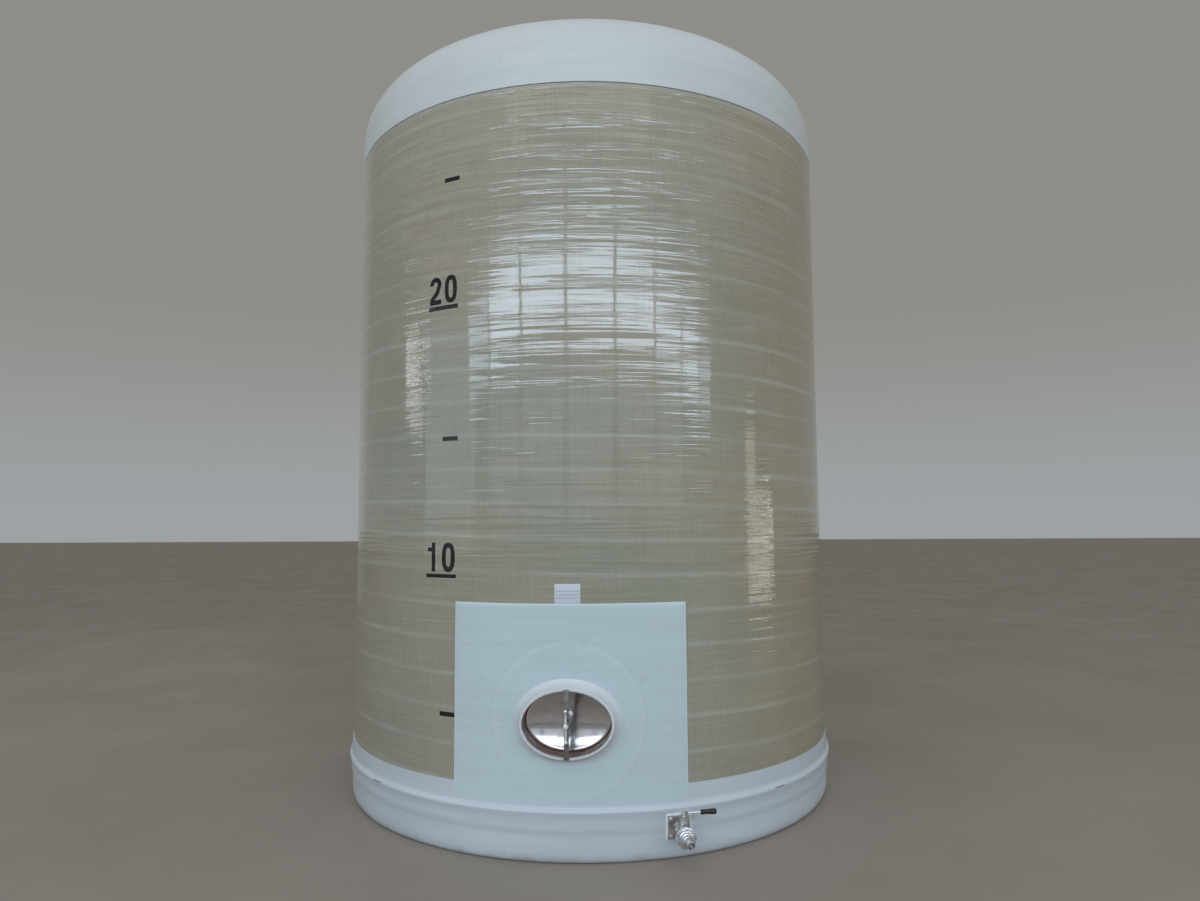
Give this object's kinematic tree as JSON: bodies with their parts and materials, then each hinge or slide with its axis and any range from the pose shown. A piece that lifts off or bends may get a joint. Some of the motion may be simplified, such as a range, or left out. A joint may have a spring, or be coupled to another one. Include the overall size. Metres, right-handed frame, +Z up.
{
  "type": "vertical storage tank",
  "caption": "Upright cylindrical tank of wound glass fibre with a domed white roof, moulded white base, oval inward-opening manway and a lever outlet valve.",
  "frame": {"origin": "on the tank's axis, at the underside of its bottom, which is the floor", "axes": "+Z up along the tank's axis; the manway faces -Y; +X is to the right of someone who faces the manway"},
  "size_m": [3.058, 3.2081, 4.6715],
  "materials": {
    "wound_laminate": "glossy wound glass fibre in clear resin, grey green beige",
    "white_gelcoat": "white gelcoat, semi gloss",
    "satin_steel": "satin stainless steel",
    "polished_steel": "polished stainless steel",
    "gasket_rubber": "red brown rubber",
    "grip_plastic": "black moulded plastic",
    "label_plate": "pale satin plate, left bare"
  },
  "bodies": {
    "tank": {"base_front": "white_gelcoat", "base_front_right": "white_gelcoat", "base_right": "white_gelcoat", "base_rear_right": "white_gelcoat", "base_rear": "white_gelcoat", "base_rear_left": "white_gelcoat", "base_left": "white_gelcoat", "base_front_left": "white_gelcoat", "bottom_plate": "white_gelcoat", "shell_front_lower": "wound_laminate", "shell_front_upper": "wound_laminate", "shell_front_right": "wound_laminate", "shell_right": "wound_laminate", "shell_rear_right": "wound_laminate", "shell_rear": "wound_laminate", "shell_rear_left": "wound_laminate", "shell_left": "wound_laminate", "shell_front_left": "wound_laminate", "roof": "white_gelcoat", "hatch_panel": "white_gelcoat", "label_plate": "label_plate", "manway_collar": "white_gelcoat", "manway_neck": "satin_steel", "hinge_bracket": "satin_steel", "hinge_pin": "satin_steel", "outlet_pad": "white_gelcoat", "flange_plate": "satin_steel", "outlet_pipe": "satin_steel", "valve_body": "satin_steel", "union_nut": "satin_steel", "outlet_nozzle": "satin_steel"},
    "lever": {"lever_hub": "satin_steel", "lever_rod": "polished_steel", "lever_grip": "grip_plastic"},
    "clamp": {"clamp_bar": "satin_steel", "bar_boss": "satin_steel"},
    "handle": {"tee_handle": "polished_steel", "clamp_screw": "satin_steel"},
    "door": {"manway_door": "polished_steel", "door_gasket": "gasket_rubber", "door_boss": "satin_steel", "door_hinge_arm": "satin_steel"}
  },
  "joints": [
    {"name": "lever_turn", "type": "hinge", "parent": "tank", "child": "lever", "pos_m": [0.55622, -1.5364, 0.163], "axis": [0, 0, -1], "range_deg": [0, 90]},
    {"name": "clamp_back_off", "type": "slide", "parent": "tank", "child": "clamp", "axis": [0, -1, 0], "range_m": [0, 0.04]},
    {"name": "handle_turn", "type": "hinge", "parent": "clamp", "child": "handle", "pos_m": [0, -1.55, 0.675], "axis": [0, -1, 0], "continuous": true},
    {"name": "door_swing", "type": "hinge", "parent": "tank", "child": "door", "pos_m": [-0.262, -1.452, 0.675], "axis": [0, 0, 1], "range_deg": [0, 100]}
  ]
}
